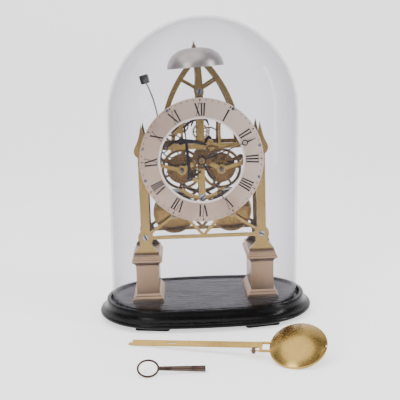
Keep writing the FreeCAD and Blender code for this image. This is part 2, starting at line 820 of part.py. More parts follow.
def cannon_pinion():
    pitch = pitch_pair(centre, minute_wheel_at, cannon_teeth, minute_teeth)[0]
    leaves = gear(centre, cannon_teeth, pitch, cannon_y[0], cannon_y[1], toward(centre, minute_wheel_at), False)
    pipe = disc(centre, 2.3, minute_hand_y[0], cannon_y[1] + 1.2)
    return join([leaves, pipe]).cut(disc(centre, 1.5, -40, 0))


def minute_wheel():
    large = pitch_pair(centre, minute_wheel_at, cannon_teeth, minute_teeth)[1]
    small = pitch_pair(centre, minute_wheel_at, hour_teeth, minute_pinion)[1]
    aim = toward(minute_wheel_at, centre)
    wheel = gear(minute_wheel_at, minute_teeth, large, cannon_y[0], cannon_y[1], aim, True)
    wheel = cross_out(wheel, minute_wheel_at, large - 2.2, 4.0, 3, 1.8, cannon_y[0], cannon_y[1], aim + 1.0)
    leaves = gear(minute_wheel_at, minute_pinion, small, hour_y[0] - 0.3, cannon_y[0] + 0.4, aim, False)
    lifting_pin = disc(polar(minute_wheel_at, large - 1.6, 2.4), 0.7, cannon_y[0], cannon_y[1] + 0.2)
    return join([wheel, leaves, lifting_pin]).cut(disc(minute_wheel_at, 1.2 + running, -20, -8))


def hour_wheel():
    large = pitch_pair(centre, minute_wheel_at, hour_teeth, minute_pinion)[0]
    aim = toward(centre, minute_wheel_at)
    wheel = gear(centre, hour_teeth, large, hour_y[0], hour_y[1], aim, True)
    wheel = cross_out(wheel, centre, large - 2.4, 5.4, 4, 2.0, hour_y[0], hour_y[1], aim + 0.6)
    pipe = disc(centre, 3.6, hour_hand_y[0] - 0.4, hour_y[1])
    return join([wheel, pipe]).cut(disc(centre, 2.3 + running, -40, 0))


def snail():
    # twelve steps, one for each hour
    points = []
    for hour in range(12):
        radius = 12.6 - 0.45 * hour
        for part in range(4):
            turn = radians(90 - hour_angle + 180 + 30 * (hour - 5) + 10 * part - 15)
            points.append(polar(centre, radius, turn))
    body = prism(points, snail_y[0], snail_y[1])
    return body.cut(disc(centre, 3.6, -30, -10))


def moon_hand(angle, ring_at, ring_radius, tip, root, y0, y1, bore):
    # a slender hand with an open ring near its point
    turn = radians(90 - angle)
    eye = polar(centre, ring_at, turn)
    pieces = [hoop(eye, ring_radius, ring_radius - 1.3, y0, y1)]
    pieces.append(strut(centre, polar(centre, ring_at - ring_radius + 0.6, turn), root, y0, y1, 1.0))
    pieces.append(strut(polar(centre, ring_at + ring_radius - 0.6, turn), polar(centre, tip, turn),
                        2.0, y0, y1, 0.5))
    pieces.append(disc(centre, bore + 2.2, y0, y1))
    return join(pieces).cut(disc(centre, bore, y0 - 1, y1 + 1))


def minute_hand():
    return moon_hand(minute_angle, minute_ring_at, 3.9, minute_tip, 2.4,
                     minute_hand_y[0], minute_hand_y[1], 2.3)


def hour_hand():
    return moon_hand(hour_angle, hour_ring_at, 4.3, hour_tip, 3.0, hour_hand_y[0], hour_hand_y[1], 3.6)


def hand_collet():
    y1 = minute_hand_y[0]
    dome = join([disc(centre, 4.4, y1 - 0.8, y1), disc(centre, 3.4, y1 - 1.5, y1 - 0.8)])
    return dome.cut(disc(centre, 1.5, -40, 0))


# ---------------------------------------------------------------- strike train

pin_wheel_y = (40.2, 41.6)
gather_wheel_y = (36.0, 37.4)
warn_wheel_y = (31.4, 32.8)


def wheel_on_arbor(place, before, after, teeth_before, teeth, wheel_y, pinion_y, shaft):
    # one arbor of the strike train: a pinion driven by the wheel before, and its own wheel
    small = pitch_pair(before, place, teeth_before, pinion_leaves)[1]
    leaves = gear(place, pinion_leaves, small, pinion_y[0] - 0.4, pinion_y[1] + 0.4,
                  toward(place, before), False)
    large = pitch_pair(place, after, teeth, pinion_leaves)[0]
    aim = toward(place, after)
    wheel = gear(place, teeth, large, wheel_y[0], wheel_y[1], aim, True)
    wheel = cross_out(wheel, place, large - 2.0, 3.2, 4, 1.6, wheel_y[0], wheel_y[1], aim + pi / 4)
    return shaft + [leaves, wheel]


def pin_wheel():
    shaft = spindle(pin_at, inner_front, inner_back, 1.2)
    pieces = wheel_on_arbor(pin_at, strike_fusee_at, gather_at, great_teeth, pin_teeth,
                            pin_wheel_y, strike_great_y, shaft)
    for i in range(8):
        pin = polar(pin_at, 15.8, 2 * pi * i / 8)
        pieces.append(disc(pin, 0.7, pin_wheel_y[1] - 0.4, pin_wheel_y[1] + 2.6))
    return join(pieces)


def gathering_wheel():
    # its arbor runs out through the front plate to the gathering pallet
    shaft = [disc(gather_at, 1.2, inner_front, inner_back)]
    shaft.append(disc(gather_at, pivot, inner_back, back_y + plate))
    shaft.append(disc(gather_at, arbor, front_y - 3.2, inner_front))
    pieces = wheel_on_arbor(gather_at, pin_at, warn_at, pin_teeth, gather_teeth,
                            gather_wheel_y, pin_wheel_y, shaft)
    tail = strut(gather_at, (gather_at[0] - 7.5, gather_at[1] + 1.5), 2.2, front_y - 2.8, front_y - 1.4, 1.2)
    pieces.append(tail)
    pieces.append(disc(gather_at, 2.6, front_y - 2.8, front_y - 1.4))
    return join(pieces)


def warning_wheel():
    shaft = spindle(warn_at, inner_front, inner_back, 1.1)
    pieces = wheel_on_arbor(warn_at, gather_at, fly_at, gather_teeth, warn_teeth,
                            warn_wheel_y, gather_wheel_y, shaft)
    return join(pieces)


def fly():
    # two thin vanes on the last arbor slow the strike
    small = pitch_pair(warn_at, fly_at, warn_teeth, pinion_leaves)[1]
    leaves = gear(fly_at, pinion_leaves, small, warn_wheel_y[0] - 0.4, warn_wheel_y[1] + 0.4,
                  toward(fly_at, warn_at), False)
    vanes = strut(polar(fly_at, 10.6, 0.5), polar(fly_at, -10.6, 0.5), 0.9, 7.0, 27.0)
    boss = disc(fly_at, 2.0, 7.0, 27.0)
    return join(spindle(fly_at, inner_front, inner_back, 1.0) + [leaves, vanes, boss])


# ---------------------------------------------------------------- hammer and strike levers

hammer_y = 20.0
head_at = (-72.6, 320.6)
head_size = 12.0


def hammer():
    # the arbor turns between the plates; a thin rod rises from it in a gentle curve
    shaft = spindle(hammer_at, inner_front, inner_back, 1.4)
    hub = disc(hammer_at, 3.4, hammer_y - 4, hammer_y + 4)
    stem = [(hammer_at[0], hammer_at[1]), (-56.4, 240.0), (-56.6, 268.0)]
    thick = path(stem, 3.0, hammer_y - 1.5, hammer_y + 1.5)
    rod = [(-56.6, 268.0), (-58.8, 281.0), (-62.0, 294.0), (-66.2, 306.0), head_at]
    thin = path(rod, 1.7, hammer_y - 0.85, hammer_y + 0.85)
    tail = strut(hammer_at, (-53.4, 219.0), 3.0, pin_wheel_y[1] + 0.8, pin_wheel_y[1] + 2.6, 1.8)
    collar = disc(hammer_at, 2.8, pin_wheel_y[1] + 0.8, pin_wheel_y[1] + 2.6)
    return join(shaft + [hub, tail, collar] + thick + thin)


def hammer_head():
    half = head_size / 2
    head = block(-half, half, hammer_y - 5, hammer_y + 5, -half, half)
    head = head.makeChamfer(1.0, head.Edges)
    head.rotate(at(0, 0, 0), at(0, 1, 0), -14)
    head.translate(at(head_at[0], 0, head_at[1]))
    rod = path([(-66.2, 306.0), head_at], 1.7, hammer_y - 0.85, hammer_y + 0.85)
    for piece in rod:
        head = head.cut(piece)
    return head


rack_y = (-11.8, -10.6)
rack_radius = 52.0
rack_teeth = 14


def rack():
    # an arm with a toothed quadrant; its tail carries the pin that meets the snail
    y0, y1 = rack_y
    aim = radians(90 + 4)
    quadrant = hoop(rack_at, rack_radius, rack_radius - 5.0, y0, y1)
    points = [rack_at, polar(rack_at, 70, aim - 0.26), polar(rack_at, 70, aim + 0.20)]
    quadrant = quadrant.common(prism(points, y0 - 1, y1 + 1))
    for i in range(rack_teeth):
        angle = aim - 0.24 + i * 0.032
        notch = [polar(rack_at, rack_radius + 1, angle - 0.004), polar(rack_at, rack_radius - 1.9, angle)]
        notch.append(polar(rack_at, rack_radius + 1, angle + 0.022))
        quadrant = quadrant.cut(prism(notch, y0 - 1, y1 + 1))
    arm = strut(rack_at, polar(rack_at, rack_radius - 3, aim), 4.6, y0, y1, 3.6)
    boss = disc(rack_at, 3.8, y0 - 1.2, y1)
    tail_end = (-2.0, 196.6)
    tail = strut(rack_at, tail_end, 3.4, y0, y1, 2.0)
    pin = disc(tail_end, 1.0, snail_y[0] - 0.3, y1)
    return join([quadrant, arm, boss, tail, pin]).cut(disc(rack_at, 1.5 + running, -30, 0))


def rack_hook():
    y0, y1 = rack_y
    tip = polar(rack_at, rack_radius + 0.9, radians(90 + 4))
    elbow = (-21.5, 257.0)
    arm = path([hook_at, (-8.0, 268.0), elbow], 3.2, y0, y1)
    beak = strut(elbow, tip, 3.2, y0, y1, 1.2)
    boss = disc(hook_at, 3.6, y0 - 1.2, y1)
    return join(arm + [beak, boss]).cut(disc(hook_at, 1.5 + running, -30, 0))


def lifting_piece():
    y0 = -19.0
    y1 = -17.8
    route = [lift_at, (-36.0, 238.5), (-25.4, 241.0), (-13.0, 239.6), (-1.6, 235.4), (6.0, 233.6)]
    arm = path(route, 3.0, y0, y1)
    boss = disc(lift_at, 3.4, y0 - 0.4, y1 + 0.8)
    return join(arm + [boss]).cut(disc(lift_at, 1.5 + running, -30, 0))


def lever_posts():
    # shouldered studs in the front plate for the levers and the minute wheel
    studs = []
    for place, reach, thick in ((rack_at, -14.0, 1.5), (hook_at, -14.0, 1.5),
                                (lift_at, -20.2, 1.5), (minute_wheel_at, -16.6, 1.2)):
        studs.append(disc(place, thick, reach, front_y))
    return Part.makeCompound(studs)


# ---------------------------------------------------------------- pendulum and key, laid in front

rod_length = 171.0
rod_width = 8.4
rod_thick = 1.6
bob_radius = 34.0
bob_half = 10.0
bob_reach = 213.5              # from the top of the rod to the middle of the bob
stirrup_low = -9.8             # outer face of the lower arm of the stirrup
pendulum_top = (-100.4, -123.0, 2.9)
pendulum_tilt = 30.0
pendulum_rise = 3.9
pendulum_yaw = -19.5


def lay_pendulum(shape):
    shape.rotate(at(0, 0, 0), at(1, 0, 0), pendulum_tilt)
    shape.rotate(at(0, 0, 0), at(0, 1, 0), -pendulum_rise)
    shape.rotate(at(0, 0, 0), at(0, 0, 1), pendulum_yaw)
    shape.translate(at(pendulum_top[0], pendulum_top[1], pendulum_top[2]))
    return shape


def pendulum_rod():
    half = rod_width / 2
    strip = Part.makeBox(rod_length - 4, rod_width, rod_thick, at(4, -half, -rod_thick / 2))
    hook = Part.makeBox(4.5, 3.4, rod_thick, at(0, -half + 0.6, -rod_thick / 2))
    slit = Part.makeBox(13.0, 1.6, 4, at(50, -0.8, -2))
    strip = strip.fuse(hook).cut(slit)
    screw_rod = Part.makeCylinder(1.1, 14.0, at(rod_length - 13.4, stirrup_low + 1.1, 0), at(1, 0, 0))
    return lay_pendulum(strip.multiFuse(stirrup() + [screw_rod]))


def stirrup():
    # a square loop on the end of the rod; its two arms run into the bob
    top = rod_width / 2 - 2.2
    arms = [Part.makeBox(14.0, 2.2, 2.6, at(rod_length - 1.0, low, -1.3)) for low in (stirrup_low, top)]
    arms.append(Part.makeBox(2.6, top + 2.2 - stirrup_low, 2.6, at(rod_length - 2.5, stirrup_low, -1.3)))
    return arms


def pendulum_bob():
    ball = (bob_radius ** 2 + bob_half ** 2) / (2 * bob_half)
    upper = Part.makeSphere(ball, at(bob_reach, 0, bob_half - ball))
    lower = Part.makeSphere(ball, at(bob_reach, 0, ball - bob_half))
    lens = upper.common(lower)
    rim = Part.makeCylinder(bob_radius + 1, 0.8, at(bob_reach, 0, -0.4))
    rim = rim.common(Part.makeCylinder(bob_radius - 0.3, 4, at(bob_reach, 0, -2)))
    lens = lens.fuse(rim)
    for arm in stirrup():
        lens = lens.cut(arm)
    return lay_pendulum(lens.cut(Part.makeBox(7, 2.6, 4, at(bob_reach + bob_radius - 5, -1.3, -2))))


def rating_nut():
    x = rod_length - 11.0
    nut_y = stirrup_low + 1.1
    nut = Part.makeCylinder(3.6, 3.2, at(x, nut_y, 0), at(1, 0, 0))
    bore = Part.makeCylinder(1.1 + running, 8, at(x - 2, nut_y, 0), at(1, 0, 0))
    for i in range(12):
        turn = 2 * pi * i / 12
        groove = Part.makeCylinder(0.35, 4.2, at(x - 0.5, nut_y + 3.7 * cos(turn),
                                                 3.7 * sin(turn)), at(1, 0, 0))
        nut = nut.cut(groove)
    return lay_pendulum(nut.cut(bore))


key_place = (-73.5, -217.4)
bow_radius = 11.6
bow_wire = 1.25
bow_tilt = 28.0
key_dip = 2.7                 # the mouth of the pipe rests on the floor too
pipe_length = 54.0


def winding_key():
    # a wire bow, tilted where it rests on the floor, and a pipe that swells to its mouth
    bow = Part.makeTorus(bow_radius, bow_wire, at(0, 0, 0), at(0, 0, 1))
    bow.rotate(at(0, 0, 0), at(1, 0, 0), bow_tilt)
    stem = Part.makeCone(2.4, 3.6, pipe_length, at(bow_radius - 0.6, 0, 0), at(1, 0, 0))
    hole = 4.6
    end = bow_radius - 0.6 + pipe_length
    mouth = Part.makeBox(16, hole, hole, at(end - 15, -hole / 2, -hole / 2))
    key = join([bow, stem]).cut(mouth)
    key.rotate(at(0, 0, 0), at(0, 1, 0), key_dip)
    lowest = key.BoundBox.ZMin
    key.translate(at(key_place[0], key_place[1], -lowest))
    return key


# ---------------------------------------------------------------- every node

nodes = {
    "wood_base": wood_base(),
    "base_feet": base_feet(),
    "glass_dome": glass_dome(),
    "left_pedestal": pedestal(-1),
    "right_pedestal": pedestal(1),
    "front_plate": front_plate(),
    "back_plate": back_plate(),
    "plate_pillars": plate_pillars(),
    "plate_screws": plate_screws(),
    "chapter_ring": chapter_ring(),
    "dial_feet": dial_feet(),
    "dial_screws": dial_screws(),
    "bell_stand": bell_stand(),
    "bell": bell(),
    "bell_nut": bell_nut(),
    "suspension_cock": suspension_cock(),
    "going_barrel": barrel(going_barrel_at),
    "going_barrel_cap": barrel_cap(going_barrel_at),
    "going_barrel_arbor": barrel_arbor(going_barrel_at),
    "going_mainspring": mainspring(going_barrel_at),
    "going_fusee": fusee(going_fusee_at),
    "going_great_wheel": great_wheel(going_fusee_at, centre, going_great_y[0], going_great_y[1], 6),
    "going_fusee_arbor": fusee_arbor(going_fusee_at),
    "going_chain": chain(going_barrel_at, going_fusee_at, 1),
    "centre_arbor": centre_arbor(),
    "centre_wheel": centre_wheel(),
    "third_wheel": third_wheel(),
    "escape_arbor": escape_arbor(),
    "escape_wheel": escape_wheel(),
    "anchor": anchor(),
    "anchor_arbor": anchor_arbor(),
    "cannon_pinion": cannon_pinion(),
    "minute_hand": minute_hand(),
    "minute_wheel": minute_wheel(),
    "hour_wheel": hour_wheel(),
    "snail": snail(),
    "hour_hand": hour_hand(),
    "hand_collet": hand_collet(),
    "strike_barrel": barrel(strike_barrel_at),
    "strike_barrel_cap": barrel_cap(strike_barrel_at),
    "strike_barrel_arbor": barrel_arbor(strike_barrel_at),
    "strike_mainspring": mainspring(strike_barrel_at),
    "strike_fusee": fusee(strike_fusee_at),
    "strike_great_wheel": great_wheel(strike_fusee_at, pin_at, strike_great_y[0], strike_great_y[1], 6),
    "strike_fusee_arbor": fusee_arbor(strike_fusee_at),
    "strike_chain": chain(strike_barrel_at, strike_fusee_at, -1),
    "pin_wheel": pin_wheel(),
    "gathering_wheel": gathering_wheel(),
    "warning_wheel": warning_wheel(),
    "fly": fly(),
    "hammer": hammer(),
    "hammer_head": hammer_head(),
    "rack": rack(),
    "rack_hook": rack_hook(),
    "lifting_piece": lifting_piece(),
    "lever_posts": lever_posts(),
    "pendulum_rod": pendulum_rod(),
    "pendulum_bob": pendulum_bob(),
    "rating_nut": rating_nut(),
    "winding_key": winding_key(),
}

on_the_floor = ["wood_base", "base_feet", "glass_dome", "pendulum_rod", "pendulum_bob"]
on_the_floor += ["rating_nut", "winding_key"]

for name, shape in nodes.items():
    if name not in on_the_floor:
        shape.translate(at(0, clock_set_y, clock_set_z))
    shape.translate(at(0, group_set_y, 0))
    shape.exportStep("parts/" + name + ".step")
    solids = len(shape.Solids)
    print(name, "solids", solids, "valid", shape.isValid(), "volume", round(shape.Volume, 1))
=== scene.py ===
import json
from math import cos, hypot, pi, radians, sin

import bmesh
import bpy
from mathutils import Matrix, Vector


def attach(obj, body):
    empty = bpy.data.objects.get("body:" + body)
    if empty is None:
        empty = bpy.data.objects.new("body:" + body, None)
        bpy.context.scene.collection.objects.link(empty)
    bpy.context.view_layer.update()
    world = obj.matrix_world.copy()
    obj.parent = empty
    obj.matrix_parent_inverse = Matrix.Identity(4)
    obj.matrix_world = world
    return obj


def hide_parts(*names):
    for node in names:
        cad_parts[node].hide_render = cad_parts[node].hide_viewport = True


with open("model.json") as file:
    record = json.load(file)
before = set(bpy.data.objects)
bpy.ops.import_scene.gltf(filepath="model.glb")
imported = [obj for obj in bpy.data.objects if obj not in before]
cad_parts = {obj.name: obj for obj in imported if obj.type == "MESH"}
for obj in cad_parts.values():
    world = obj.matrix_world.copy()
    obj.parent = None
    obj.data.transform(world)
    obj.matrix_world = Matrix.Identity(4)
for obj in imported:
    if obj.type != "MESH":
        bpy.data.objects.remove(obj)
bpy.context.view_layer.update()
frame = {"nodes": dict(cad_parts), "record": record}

nodes = frame["nodes"]
bodyOf = {}
for bodyName, members in frame["record"]["behaviour"]["bodies"].items():
    for member in members:
        bodyOf[member] = bodyName
slotOf = {}
for part in frame["record"]["subparts"]:
    slotOf[part["node"]] = part["material_slot"]
mm = 0.001


# camera and light first, so that every later stage can be looked at

view = {
    "eye": (-29.49, -946.91, 341.91),   # mm
    "yaw": 1.49,
    "pitch": -10.26,
    "roll": 1.86,
    "lens": 67.35,
    "sensor": 36.0,
    "farthest": 20.0,         # m
}


def makeCamera():
    yaw, pitch, roll = (radians(view[k]) for k in ("yaw", "pitch", "roll"))
    ahead = Vector((sin(yaw) * cos(pitch), cos(yaw) * cos(pitch), sin(pitch)))
    right = Vector((cos(yaw), -sin(yaw), 0))
    up = right.cross(ahead)
    turnedRight = right * cos(roll) - up * sin(roll)
    turnedUp = right * sin(roll) + up * cos(roll)
    turn = Matrix((turnedRight, turnedUp, -ahead)).transposed().to_4x4()
    data = bpy.data.cameras.new("camera")
    data.lens = view["lens"]
    data.sensor_width = view["sensor"]
    data.clip_end = view["farthest"]
    camera = bpy.data.objects.new("camera", data)
    camera.matrix_world = Matrix.Translation(Vector(view["eye"]) * mm) @ turn
    bpy.context.scene.collection.objects.link(camera)
    bpy.context.scene.camera = camera


studio = {
    "world": (0.95, 0.94, 0.97),
    "worldStrength": 0.5,
    "floor": (0.88, 0.88, 0.89),
    "floorGlow": 1.08,
    "floorRoughness": 0.9,
    "sweepStart": 1.1,        # metres behind the clock where the floor turns up
    "sweepRadius": 0.9,
    "sweepSteps": 16,
    "sheetFront": -3.0,
    "sheetTop": 5.0,
    "sheetHalf": 5.0,
    "lamps": (       # place, aim, width, height, watts
        ("overhead", (-0.35, -0.23, 1.5), (0.0, 0.07, 0.1), 2.0, 2.0, 24),
        ("frontLeft", (-1.1, -1.43, 0.9), (0.0, 0.07, 0.2), 0.7, 1.0, 16),
        ("rightStrip", (1.15, -0.48, 0.6), (0.0, 0.07, 0.25), 0.14, 1.1, 13),
    ),
}


def addLamp(name, place, aim, width, height, watts):
    light = bpy.data.lights.new(name, "AREA")
    light.shape = "DISK" if width == height else "RECTANGLE"
    light.size = width
    light.size_y = height
    light.energy = watts
    lamp = bpy.data.objects.new(name, light)
    direction = Vector(aim) - Vector(place)
    turn = direction.to_track_quat("-Z", "Y").to_matrix().to_4x4()
    lamp.matrix_world = Matrix.Translation(place) @ turn
    bpy.context.scene.collection.objects.link(lamp)


def makeStudio():
    world = bpy.data.worlds.new("studio")
    bpy.context.scene.world = world
    world.use_nodes = True
    sky = world.node_tree.nodes["Background"]
    sky.inputs["Color"].default_value = (*studio["world"], 1)
    sky.inputs["Strength"].default_value = studio["worldStrength"]
    for lamp in studio["lamps"]:
        addLamp(*lamp)
    # one sheet of paper: flat under the clock, then curving up into a wall
    start, bend, steps = studio["sweepStart"], studio["sweepRadius"], studio["sweepSteps"]
    line = [(studio["sheetFront"], 0.0), (start, 0.0)]
    for i in range(1, steps + 1):
        turn = pi / 2 * i / steps
        line.append((start + bend * sin(turn), bend - bend * cos(turn)))
    line.append((start + bend, studio["sheetTop"]))
    half = studio["sheetHalf"]
    points = [(x, y, z) for y, z in line for x in (-half, half)]
    faces = [(2 * i, 2 * i + 1, 2 * i + 3, 2 * i + 2) for i in range(len(line) - 1)]
    floor = meshPiece("floor", points, faces)
    for face in floor.data.polygons:
        face.use_smooth = True
    paint = bpy.data.materials.new("floorPaint")
    paint.use_nodes = True
    shader = paint.node_tree.nodes["Principled BSDF"]
    shader.inputs["Base Color"].default_value = (*studio["floor"], 1)
    shader.inputs["Roughness"].default_value = studio["floorRoughness"]
    shader.inputs["Emission Color"].default_value = (*studio["floor"], 1)
    shader.inputs["Emission Strength"].default_value = studio["floorGlow"]
    floor.data.materials.append(paint)


# small mesh helpers

weld = 2e-6              # points closer than this many metres are one

def meshPiece(name, points, faces):
    data = bpy.data.meshes.new(name)
    data.from_pydata([Vector(p) for p in points], [], faces)
    data.update()
    piece = bpy.data.objects.new(name, data)
    bpy.context.scene.collection.objects.link(piece)
    return piece


def smoothBy(data, degrees):
    # smooth shading, kept sharp where two faces meet at more than this angle
    bm = bmesh.new()
    bm.from_mesh(data)
    for face in bm.faces:
        face.smooth = True
    limit = radians(degrees)
    for edge in bm.edges:
        if len(edge.link_faces) == 2:
            edge.smooth = edge.calc_face_angle(0) < limit
        else:
            edge.smooth = False
    bm.to_mesh(data)
    bm.free()


def finishPiece(piece, body, slot, material, *replaced):
    piece.data.materials.clear()
    piece.data.materials.append(material)
    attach(piece, body)
    if replaced:
        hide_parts(*replaced)
    return piece


def tidyNormals(data):
    bm = bmesh.new()
    bm.from_mesh(data)
    bmesh.ops.remove_doubles(bm, verts=bm.verts, dist=weld)
    bmesh.ops.recalc_face_normals(bm, faces=bm.faces)
    bm.to_mesh(data)
    bm.free()


def refined(node, material, degrees=32):
    # the node's own shape with its triangles merged, so that turned surfaces shade smoothly
    source = nodes[node].data
    points = [v.co for v in source.vertices]
    faces = [tuple(p.vertices) for p in source.polygons]
    piece = meshPiece(node + "_finished", points, faces)
    data = piece.data
    bm = bmesh.new()
    bm.from_mesh(data)
    bmesh.ops.remove_doubles(bm, verts=bm.verts, dist=weld)
    bmesh.ops.dissolve_degenerate(bm, edges=bm.edges, dist=1e-7)
    bm.to_mesh(data)
    bm.free()
    smoothBy(data, degrees)
    return finishPiece(piece, bodyOf[node], slotOf[node], material, node)


# node materials

class Recipe:
    # one material under construction: add nodes, link sockets

    def __init__(self, name):
        self.material = bpy.data.materials.new(name)
        self.material.use_nodes = True
        self.tree = self.material.node_tree
        self.shader = self.tree.nodes["Principled BSDF"]
        self.coords = self.tree.nodes.new("ShaderNodeTexCoord").outputs["Object"]

    def node(self, kind, **values):
        made = self.tree.nodes.new(kind)
        for key, value in values.items():
            setattr(made, key, value)
        return made

    def link(self, source, target):
        self.tree.links.new(source, target)

    def stretched(self, scale, turn=(0, 0, 0), offset=(0, 0, 0)):
        mapping = self.node("ShaderNodeMapping")
        mapping.inputs["Scale"].default_value = scale
        mapping.inputs["Rotation"].default_value = turn
        mapping.inputs["Location"].default_value = offset
        self.link(self.coords, mapping.inputs["Vector"])
        return mapping.outputs["Vector"]

    def noise(self, scale, detail=4.0, rough=0.6, vector=None):
        made = self.node("ShaderNodeTexNoise")
        made.inputs["Scale"].default_value = scale
        made.inputs["Detail"].default_value = detail
        made.inputs["Roughness"].default_value = rough
        self.link(vector if vector is not None else self.coords, made.inputs["Vector"])
        return made.outputs["Fac"]

    def spread(self, source, low, high, outLow, outHigh):
        made = self.node("ShaderNodeMapRange")
        for key, value in (("From Min", low), ("From Max", high), ("To Min", outLow), ("To Max", outHigh)):
            made.inputs[key].default_value = value
        self.link(source, made.inputs["Value"])
        return made.outputs["Result"]

    def blend(self, fac, first, second):
        made = self.node("ShaderNodeMix", data_type="RGBA")
        self.link(fac, made.inputs["Factor"])
        for socket, value in ((made.inputs[6], first), (made.inputs[7], second)):
            if hasattr(value, "links"):
                self.link(value, socket)
            else:
                socket.default_value = (*value, 1)
        return made.outputs[2]

    def bump(self, height, strength, distance):
        made = self.node("ShaderNodeBump")
        made.inputs["Strength"].default_value = strength
        made.inputs["Distance"].default_value = distance
        self.link(height, made.inputs["Height"])
        self.link(made.outputs["Normal"], self.shader.inputs["Normal"])

    def fixed(self, **values):
        for key, value in values.items():
            self.shader.inputs[key.replace("_", " ")].default_value = value


def metal(name, bright, dull, rough, brush=(400, 400, 400), patina=18.0, patinaFrom=0.45,
          bumpAmount=0.12):
    # a bright metal with brush marks, and duller tarnish in soft patches
    r = Recipe(name)
    patches = r.noise(patina, 5, 0.62)
    worn = r.spread(patches, patinaFrom, patinaFrom + 0.25, 0, 1)
    r.link(r.blend(worn, bright, dull), r.shader.inputs["Base Color"])
    marks = r.noise(1.0, 3, 0.7, r.stretched(brush))
    roughness = r.spread(marks, 0.3, 0.7, rough * 0.75, rough * 1.3)
    r.link(roughness, r.shader.inputs["Roughness"])
    r.bump(marks, bumpAmount, 0.00008)
    r.fixed(Metallic=1.0)
    return r.material


finishes = {
    "polished_brass": dict(bright=(0.22, 0.135, 0.038), dull=(0.12, 0.070, 0.020), rough=0.20),
    # darker brass for the parts inside the movement: painted shade
    "train_brass_painted_shade": dict(bright=(0.14, 0.080, 0.024), dull=(0.078, 0.043, 0.013), rough=0.26,
                        patina=14.0, bumpAmount=0.05),
    "shaded_brass": dict(bright=(0.15, 0.095, 0.032), dull=(0.085, 0.050, 0.017), rough=0.30, patina=14.0),
    "frame_brass": dict(bright=(0.33, 0.22, 0.063), dull=(0.24, 0.155, 0.044), rough=0.22,
                        brush=(500, 500, 500), patina=12.0, bumpAmount=0.03),
    "pedestal_brass": dict(bright=(0.42, 0.275, 0.155), dull=(0.33, 0.205, 0.108), rough=0.36,
                           brush=(700, 700, 40), patina=9.0, bumpAmount=0.2),
    "pendulum_brass": dict(bright=(0.38, 0.25, 0.075), dull=(0.25, 0.16, 0.048), rough=0.25,
                           brush=(400, 400, 400), patina=9.0, patinaFrom=0.48, bumpAmount=0.04),
    "blued_steel": dict(bright=(0.010, 0.012, 0.020), dull=(0.006, 0.006, 0.008), rough=0.34),
    "polished_steel": dict(bright=(0.16, 0.15, 0.14), dull=(0.05, 0.045, 0.04), rough=0.28),
    "dark_steel": dict(bright=(0.10, 0.068, 0.056), dull=(0.035, 0.024, 0.020), rough=0.42,
                       brush=(90, 600, 600), patina=60.0, patinaFrom=0.42, bumpAmount=0.4),
    "lever_steel": dict(bright=(0.022, 0.020, 0.022), dull=(0.010, 0.009, 0.009), rough=0.34),
    "screw_steel": dict(bright=(0.34, 0.36, 0.40), dull=(0.12, 0.13, 0.16), rough=0.22, patina=90.0),
}
# nodes finished otherwise than the rest of their slot: the train inside the movement is painted darker and
# browner than the polished work, as painted shade
otherFinish = {
    "hammer": "lever_steel", "hammer_head": "lever_steel", "rack": "lever_steel",
    "rack_hook": "lever_steel", "lifting_piece": "lever_steel", "anchor": "lever_steel",
    "plate_screws": "screw_steel", "dial_screws": "screw_steel",
}
for inner in ("going_fusee", "going_great_wheel", "strike_fusee", "strike_great_wheel", "centre_wheel",
              "third_wheel", "escape_wheel", "minute_wheel", "hour_wheel", "snail", "pin_wheel",
              "gathering_wheel", "warning_wheel", "fly", "suspension_cock"):
    otherFinish[inner] = "train_brass_painted_shade"
# the back plate and pillars behind the train: darker brass as painted shade
otherFinish["back_plate"] = "shaded_brass"
otherFinish["plate_pillars"] = "shaded_brass"


def silvering():
    # silvered dial: fine turned grain round the middle, faint warm mottling, and a painted highlight towards
    # the upper right
    r = Recipe("silveredDial")
    centred = r.stretched((1, 0, 1), offset=(0, 0, -dialSpec["centreZ"] * mm))
    split = r.node("ShaderNodeSeparateXYZ")
    r.link(centred, split.inputs[0])
    angle = r.node("ShaderNodeMath", operation="ARCTAN2")
    r.link(split.outputs["X"], angle.inputs[0])
    r.link(split.outputs["Z"], angle.inputs[1])
    radius = r.node("ShaderNodeVectorMath", operation="LENGTH")
    r.link(centred, radius.inputs[0])
    polar = r.node("ShaderNodeCombineXYZ")
    r.link(angle.outputs[0], polar.inputs[0])
    r.link(radius.outputs["Value"], polar.inputs[1])
    scaled = r.node("ShaderNodeVectorMath", operation="MULTIPLY")
    scaled.inputs[1].default_value = (3.0, 1500.0, 1.0)
    r.link(polar.outputs[0], scaled.inputs[0])
    grain = r.noise(1.0, 4, 0.7, scaled.outputs["Vector"])
    mottle = r.noise(22.0, 5, 0.65)
    warm = r.blend(r.spread(mottle, 0.42, 0.66, 0, 1), (0.54, 0.405, 0.305), (0.40, 0.285, 0.205))
    grainAndHighlight = r.blend(r.spread(grain, 0.35, 0.65, 0, 0.3), warm, (0.62, 0.48, 0.38))
    # painted highlight: lighter silvering towards the upper right, where the light falls on the ring
    across = r.node("ShaderNodeVectorMath", operation="DOT_PRODUCT")
    r.link(centred, across.inputs[0])
    across.inputs[1].default_value = (0.8, 0, 0.6)
    upperRightHighlight = r.spread(across.outputs["Value"], 0.0, 0.08, 0, 0.8)
    grainAndHighlight = r.blend(upperRightHighlight, grainAndHighlight, (0.76, 0.62, 0.51))
    rim = r.spread(radius.outputs["Value"], dialSpec["bevel"] * mm, (dialSpec["bevel"] + 0.3) * mm, 1, 0)
    r.link(r.blend(rim, grainAndHighlight, (0.92, 0.85, 0.78)), r.shader.inputs["Base Color"])
    r.link(r.spread(grain, 0.3, 0.7, 0.30, 0.46), r.shader.inputs["Roughness"])
    r.bump(grain, 0.1, 0.00005)
    r.fixed(Metallic=0.85)
    return r.material


